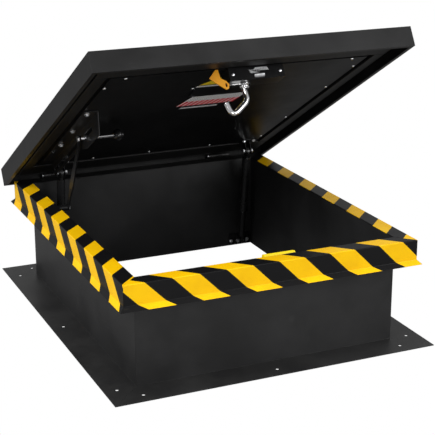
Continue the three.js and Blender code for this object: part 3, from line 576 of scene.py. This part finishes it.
def copies(shape, places, direction):
    """One bmesh with shape's copies at each place, heads pointing along direction."""
    stamp = bpy.data.meshes.new("stamp")
    shape.to_mesh(stamp)
    shape.free()
    bm = bmesh.new()
    aim = Vector(direction).to_track_quat("Z", "X").to_matrix().to_4x4()
    for i, place in enumerate(places):
        twist = Matrix.Rotation(math.radians(37 * i), 4, "Z")
        stamp.transform(Matrix.Translation(place) @ aim @ twist)
        bm.from_mesh(stamp)
        stamp.transform((Matrix.Translation(place) @ aim @ twist).inverted())
    bpy.data.meshes.remove(stamp)
    return bm


def new_piece(name, bm, material, body, place=CURB, smooth=True):
    """Makes a bmesh a piece of the object, with its place in its mesh."""
    bmesh.ops.recalc_face_normals(bm, faces=bm.faces)
    mesh = bpy.data.meshes.new(name)
    bm.to_mesh(mesh)
    bm.free()
    mesh.transform(place)
    mesh.materials.append(material)
    if smooth:
        for polygon in mesh.polygons:
            polygon.use_smooth = True
        mesh.set_sharp_from_angle(angle=math.radians(32))
    piece = bpy.data.objects.new(name, mesh)
    bpy.context.scene.collection.objects.link(piece)
    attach(piece, body)
    return piece


# %% Fasteners on the cover
DOWN, FORWARD = (0, 0, -1), (0, -1, 0)
SMALL_BOLT = (8, 4, 6.4)

LINER_EDGE_X = 368 * MM
SLOTTED_BRACKET_END = -720 * MM  # the slotted bracket covers the left edge's screws behind this
liner_screws = [(side * LINER_EDGE_X, -l * MM, LINER_UNDER) for side in (-1, 1) for l in (205, 408, 701, 880)]
liner_screws = [p for p in liner_screws if not (p[0] < 0 and p[1] > SLOTTED_BRACKET_END)]
liner_screws += [(x * MM, -160 * MM, LINER_UNDER) for x in (-200, -12, 200)]
liner_screws += [(x * MM, -948 * MM, LINER_UNDER) for x in (-330, 330)]
new_piece("liner_screws", copies(domed_screw(4.2, 2.4), liner_screws, DOWN), zinc, "cover", COVER)

bracket_low, bracket_high = cover_box("slotted_bracket")
foot_bolts = [(bracket_low.x + 14 * MM, -l * MM, bracket_high.z - 3 * MM) for l in (377, 515, 672)]
new_piece("slotted_bracket_bolts", copies(hex_bolt(), foot_bolts, DOWN), zinc, "cover", COVER)

for side in ("left", "right"):
    low, high = cover_box("lift_head_bracket_" + side)
    middle = (low.x + high.x) / 2
    front = low.y + 8 * MM
    bolts = [(middle + dx * MM, front, high.z - 3 * MM) for dx in (-17, 17)]
    bm = copies(hex_bolt(*SMALL_BOLT), bolts, DOWN)
    new_piece("head_bracket_bolts_" + side, bm, zinc, "cover", COVER)
    low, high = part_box("lift_foot_bracket_" + side)
    middle = (low.x + high.x) / 2
    bolts = [(middle + dx * MM, high.y - 3 * MM, low.z + 12 * MM) for dx in (-30, 30)]
    bm = copies(hex_bolt(*SMALL_BOLT), bolts, FORWARD)
    new_piece("foot_bracket_bolts_" + side, bm, zinc, "curb")

# %% Fasteners on the curb
low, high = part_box("arm_curb_bracket")
plate = low.x + 3 * MM
middle = (low.y + high.y) / 2
arm_bolts = [(plate, middle + dy * MM, low.z + 13 * MM) for dy in (-13, 13)]
new_piece("arm_bracket_bolts", copies(hex_bolt(), arm_bolts, (1, 0, 0)), zinc, "curb")

low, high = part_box("strike_bracket")
middle = (low.x + high.x) / 2
strike_screws = [(middle + dx * MM, low.y + 3 * MM, low.z + 14 * MM) for dx in (-20, 20)]
new_piece("strike_screws", copies(domed_screw(5, 2.8), strike_screws, (0, 1, 0)), zinc, "curb")

for side in ("left", "right"):
    low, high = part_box("hinge_curb_leaf_" + side)
    middle = (low.x + high.x) / 2
    leaf = low.y + 2.5 * MM
    screws = [(middle + dx * MM, leaf, low.z + 12 * MM) for dx in (-25, 0, 25)]
    new_piece("hinge_screws_" + side, copies(domed_screw(4, 1.6), screws, (0, 1, 0)), zinc, "curb")

# %% [markdown]
# ## The springs in the lift tubes
# A spring has one end on the lower tube and the other in the upper tube, and it shortens when the cover
# comes down. The CAD coil is rigid, so a finer coil stands for it here. It is laid along the sliding
# joint over the length of the CAD coil, which is hidden.

# %% Lift springs
COIL_RADIUS, WIRE_RADIUS, COILS = 5.9, 1.2, 20
STEPS_PER_COIL, WIRE_SIDES = 20, 8


def make_coil(length):
    """A coil along Z from 0 to length, in millimetres, with flat ends on the wire."""
    bm = bmesh.new()
    rings = []
    total = COILS * STEPS_PER_COIL
    climb = (length - 2 * WIRE_RADIUS) / total
    slope = math.atan2(climb * STEPS_PER_COIL, 2 * math.pi * COIL_RADIUS)
    for i in range(total + 1):
        at = 2 * math.pi * i / STEPS_PER_COIL
        out = Vector((math.cos(at), math.sin(at), 0))
        middle = out * COIL_RADIUS + Vector((0, 0, WIRE_RADIUS + climb * i))
        up = Vector((math.sin(at) * math.sin(slope), -math.cos(at) * math.sin(slope), math.cos(slope)))
        angles = [2 * math.pi * k / WIRE_SIDES for k in range(WIRE_SIDES)]
        points = [middle + (out * math.cos(a) + up * math.sin(a)) * WIRE_RADIUS for a in angles]
        rings.append([bm.verts.new(point * MM) for point in points])
    for a, b in zip(rings, rings[1:]):
        for k in range(WIRE_SIDES):
            bm.faces.new((a[k], a[(k + 1) % WIRE_SIDES], b[(k + 1) % WIRE_SIDES], b[k]))
    bm.faces.new(reversed(rings[0]))
    bm.faces.new(rings[-1])
    return bm


for side in ("left", "right"):
    node = "lift_spring_" + side
    foot = Vector(joints["lift_tilt_" + side]["pos_m"])
    along = Vector(joints["lift_slide_" + side]["axis"]).normalized()
    heights = [(vertex.co - foot).dot(along) for vertex in frame["nodes"][node].data.vertices]
    bottom, top = foot + along * min(heights), foot + along * max(heights)
    bm = make_coil((top - bottom).length / MM)
    bmesh.ops.recalc_face_normals(bm, faces=bm.faces)
    mesh = bpy.data.meshes.new("coil_" + side)
    bm.to_mesh(mesh)
    bm.free()
    mesh.transform(Matrix.Translation(bottom) @ along.to_track_quat("Z", "X").to_matrix().to_4x4())
    mesh.materials.append(spring_steel)
    for polygon in mesh.polygons:
        polygon.use_smooth = True
    coil = bpy.data.objects.new("coil_" + side, mesh)
    bpy.context.scene.collection.objects.link(coil)
    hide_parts(node)
    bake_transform(coil)

# %% [markdown]
# ## The latch's small parts
# The housing is a black box with a screw at each end of its front and a small label between them. The label
# here is plain: a bar and a wedge, with no lettering. Beside the spindle hangs a dark strap on a screw,
# which keeps the handle from swinging about.

# %% Thin printed plates
def flat_plate(outline, thick=0.4):
    """A thin plate from (x, y) points, in millimetres, with its back on z = 0 and its face at -thick."""
    bm = bmesh.new()
    face = bm.faces.new([bm.verts.new((x * MM, y * MM, 0)) for x, y in outline])
    down = bmesh.ops.extrude_face_region(bm, geom=[face])["geom"]
    verts = [g for g in down if isinstance(g, bmesh.types.BMVert)]
    bmesh.ops.translate(bm, verts=verts, vec=(0, 0, -thick * MM))
    return bm


def printed(name, base, ink, start, period, share, direction, rough=0.35):
    """A printed sheet: bars of ink on a base colour, set out along direction."""
    material, tree, shader, at = new_material(name, base)
    bars = place_group(
        tree, BANDS, Vector=at, Slant=direction, Start=start * MM, Period=period * MM, Share=share,
    )["Mask"]
    grain = place_group(tree, GRAIN, Vector=at, Grain_Scale=900.0)
    worn = ramp(tree, grain["Clouds"], 0.35, 0.7)
    base_now = mix(tree, worn, base, tuple(c * 0.8 for c in base))
    tree.links.new(mix(tree, bars, base_now, ink), shader.inputs["Base Color"])
    tree.links.new(math_node(tree, "MULTIPLY_ADD", worn, 0.1, rough), shader.inputs["Roughness"])
    bump = add_node(tree, "Bump", {"Height": grain["Height"], "Strength": 0.03, "Distance": 0.0005})
    tree.links.new(bump.outputs[0], shader.inputs["Normal"])
    return material


WHITE_INK, RED, YELLOW_PRINT = (0.85, 0.85, 0.85), (0.70, 0.012, 0.03), (0.90, 0.66, 0.004)
plain_label = printed("label_grey", (0.80, 0.81, 0.82), (0.40, 0.41, 0.42), 0, 3.2, 0.3, (1, 0, 0))
grey_band = printed("band_grey", (0.16, 0.16, 0.17), (0.92, 0.92, 0.92), 0, 9.0, 0.60, (1, 0.35, 0))
red_band = printed("band_red", RED, (0.90, 0.80, 0.80), 0, 16.0, 0.26, (1, 0.35, 0))
white_band = printed("band_white", WHITE_INK, (0.05, 0.05, 0.05), 0, 5.0, 0.25, (1, 0.2, 0))
yellow_print = printed("print_yellow", YELLOW_PRINT, (0.02, 0.02, 0.02), 0, 400, 0.0, (1, 0, 0))

SHEET_UNDER = Matrix.Translation((0, 0, LINER_UNDER - 0.05 * MM))
PRINTS = {
    "print_triangle": ([(-84, -833), (-30, -905), (-8, -833)], yellow_print),
    "print_bar_white": ([(-88, -826), (-10, -826), (-10, -815), (-88, -815)], white_band),
    "print_band_grey": ([(-66, -728), (95, -728), (95, -688), (-76, -688)], grey_band),
    "print_band_red": ([(-76, -686), (95, -686), (88, -648), (-87, -648)], red_band),
    "print_line_white": ([(-66, -632), (48, -632), (46, -622), (-70, -622)], white_band),
}
for name, (outline, material) in PRINTS.items():
    new_piece(name, flat_plate(outline), material, "cover", COVER @ SHEET_UNDER, smooth=False)

# %% Label and screws on the latch housing
low, high = cover_box("latch_housing")
middle_z = (low.z + high.z) / 2
label = [(8, -9), (30, -9), (40, -3), (62, -3), (58, 6), (24, 6), (18, 1), (4, 1)]
label = [(x + 4, y + middle_z / MM + 8) for x, y in label]
face = Matrix.Translation((0, low.y, 0)) @ Matrix.Rotation(math.pi / 2, 4, "X")
bm = flat_plate([(x, z) for x, z in label])
new_piece("housing_label", bm, plain_label, "cover", COVER @ face, smooth=False)
housing_screws = [(low.x + 11 * MM, low.y, middle_z), (high.x - 11 * MM, low.y, middle_z)]
bm = copies(domed_screw(5, 2.4), housing_screws, FORWARD)
new_piece("housing_screws", bm, zinc, "cover", COVER)

# %% The strap beside the handle
def make_strap():
    """A narrow flat strap that hangs from a screw, its outline turned once."""
    bm = flat_plate([(-104, -826), (-94, -828), (-82, -742), (-70, -740), (-68, -752), (-80, -754)], 2.2)
    bmesh.ops.bevel(
        bm, geom=list(bm.edges), offset=0.5 * MM, offset_type="OFFSET", segments=2, profile=0.5,
        affect="EDGES", material=-1,
    )
    return bm


lift = Matrix.Translation((0, 0, LINER_UNDER - 1.2 * MM))
new_piece("strap", make_strap(), bracket_coat, "cover", COVER @ lift)
strap_screw = [(-99 * MM, -820 * MM, LINER_UNDER - 3.4 * MM)]
new_piece("strap_screw", copies(domed_screw(4, 2.4), strap_screw, DOWN), zinc, "cover", COVER)

# %% [markdown]
# ## The release handle
# The knob is moulded round a steel insert, and a bolt through its middle keeps it on the rod. A small
# ferrule sits where the rod leaves the spacer.

# %% Knob bolt and ferrule
knob_low, knob_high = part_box("release_knob")
knob_middle = (knob_low + knob_high) / 2
bolt_at = [(knob_high.x - 0.3 * MM, knob_middle.y, knob_middle.z)]
new_piece("knob_bolt", copies(domed_screw(5.5, 3.0), bolt_at, (1, 0, 0)), zinc, "hold_open_arm")
rod_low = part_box("release_rod")[0]
bm = bmesh.new()
turned_ring(bm, [(4.55, 0), (7.2, 0), (7.6, 0.6), (7.6, 6.4), (6.4, 8), (4.55, 8), (4.55, 0)])
ferrule_at = Matrix.Translation((rod_low.x + 1 * MM, knob_middle.y, knob_middle.z))
aim = ferrule_at @ Matrix.Rotation(math.pi / 2, 4, "Y")
new_piece("rod_ferrule", bm, zinc, "hold_open_arm", aim)
